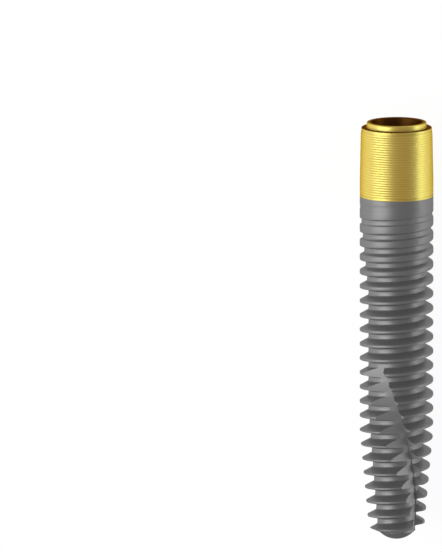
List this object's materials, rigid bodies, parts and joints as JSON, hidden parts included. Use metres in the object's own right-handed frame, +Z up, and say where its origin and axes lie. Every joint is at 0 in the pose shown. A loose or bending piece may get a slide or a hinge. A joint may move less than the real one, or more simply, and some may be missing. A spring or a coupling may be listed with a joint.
{
  "type": "dental implant",
  "caption": "Long tapered dental implant with a gold anodised collar, buttress thread, helical cutting flutes, domed tip and an internal hexagon socket, lying on its side.",
  "frame": {"origin": "on the floor, below the middle of the implant's length as it lies on its side", "axes": "+Y along the implant's axis from the domed tip to the open platform, +Z up from the floor, +X across"},
  "size_m": [0.0042, 0.0236, 0.0041],
  "materials": {
    "blasted_titanium": "grit-blasted titanium, satin grey",
    "anodised_titanium": "titanium anodised gold, finely turned"
  },
  "bodies": {
    "root": {"implant_fixture": "blasted_titanium"}
  },
  "joints": []
}
